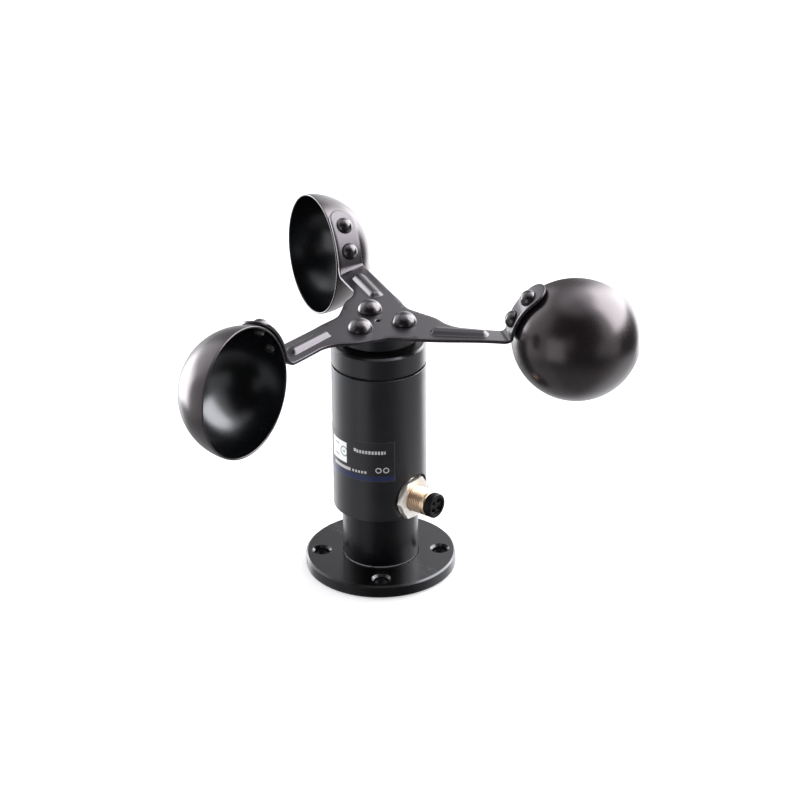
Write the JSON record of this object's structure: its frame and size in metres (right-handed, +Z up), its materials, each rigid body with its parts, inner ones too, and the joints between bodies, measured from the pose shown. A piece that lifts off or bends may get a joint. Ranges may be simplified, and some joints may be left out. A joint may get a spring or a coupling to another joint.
{
  "type": "cup anemometer",
  "caption": "Cup anemometer: hemispherical cups riveted to a stamped spider on a ball-bearing spindle, in a black turned housing with a bolt-down flange and a round side connector.",
  "frame": {"origin": "centre of the mounting flange's underside", "axes": "+Z up along the spindle, towards the cups; the side connector points to the front right, between +X and -Y"},
  "size_m": [0.2012, 0.2041, 0.1501],
  "materials": {
    "black_anodised": "satin black anodised aluminium",
    "black_coated_steel": "semi-gloss black coated sheet",
    "black_rivet": "glossy black dome",
    "black_rubber": "matt rubber",
    "black_plastic": "moulded",
    "label_film": "printed film with a blue stripe",
    "nickel": "bright nickel plate",
    "nickel_brass": "plated brass thread",
    "gold_contact": "gold flash",
    "zinc_steel": "zinc plated",
    "bearing_steel": "ground",
    "cage_polyamide": "moulded",
    "machined_aluminium": "turned",
    "magnet_nickel": "plated",
    "board_green": "solder mask",
    "socket_white": "moulded",
    "cable_grey": "sheath"
  },
  "bodies": {
    "housing": {"base_post": "black_anodised", "base_screw_1": "zinc_steel", "base_screw_2": "zinc_steel", "base_screw_3": "zinc_steel", "bearing_carrier": "machined_aluminium", "board_screw_1": "zinc_steel", "board_screw_2": "zinc_steel", "board_screw_3": "zinc_steel", "board_socket": "socket_white", "cap_seal_ring": "black_rubber", "carrier_screw_1": "zinc_steel", "carrier_screw_2": "zinc_steel", "carrier_screw_3": "zinc_steel", "circuit_board": "board_green", "connector_contact_1": "gold_contact", "connector_contact_2": "gold_contact", "connector_contact_3": "gold_contact", "connector_contact_4": "gold_contact", "connector_gasket": "black_rubber", "connector_insert": "black_plastic", "connector_nut": "nickel", "connector_shell": "nickel_brass", "hall_sensor": "black_plastic", "lower_bearing_outer_race": "bearing_steel", "main_housing": "black_anodised", "mounting_flange": "black_anodised", "name_label": "label_film", "outer_race_spacer": "machined_aluminium", "signal_cable": "cable_grey", "top_cap": "black_anodised", "upper_bearing_outer_race": "bearing_steel"},
    "rotor": {"cup_1": "black_coated_steel", "cup_1_rivet_a": "black_rivet", "cup_1_rivet_b": "black_rivet", "cup_2": "black_coated_steel", "cup_2_rivet_a": "black_rivet", "cup_2_rivet_b": "black_rivet", "cup_3": "black_coated_steel", "cup_3_rivet_a": "black_rivet", "cup_3_rivet_b": "black_rivet", "hub_rivet_1": "black_rivet", "hub_rivet_2": "black_rivet", "hub_rivet_3": "black_rivet", "inner_race_spacer": "machined_aluminium", "lower_bearing_inner_race": "bearing_steel", "magnet_holder": "machined_aluminium", "rotor_hub": "black_anodised", "sensing_magnet": "magnet_nickel", "shaft_retaining_ring": "zinc_steel", "spider_plate": "black_coated_steel", "spindle_shaft": "bearing_steel", "upper_bearing_inner_race": "bearing_steel"},
    "upper_cage": {"upper_ball_cage": "cage_polyamide"},
    "lower_cage": {"lower_ball_cage": "cage_polyamide"}
  },
  "joints": [
    {"name": "rotor_spin", "type": "hinge", "parent": "housing", "child": "rotor", "pos_m": [0, 0, 0.1], "axis": [0, 0, 1], "continuous": true},
    {"name": "upper_cage_spin", "type": "hinge", "parent": "housing", "child": "upper_cage", "pos_m": [0, 0, 0.1011], "axis": [0, 0, 1], "continuous": true},
    {"name": "lower_cage_spin", "type": "hinge", "parent": "housing", "child": "lower_cage", "pos_m": [0, 0, 0.075], "axis": [0, 0, 1], "continuous": true}
  ],
  "couplings": [
    {"joint": "upper_cage_spin", "follows": "rotor_spin", "ratio": 0.372},
    {"joint": "lower_cage_spin", "follows": "rotor_spin", "ratio": 0.372}
  ]
}
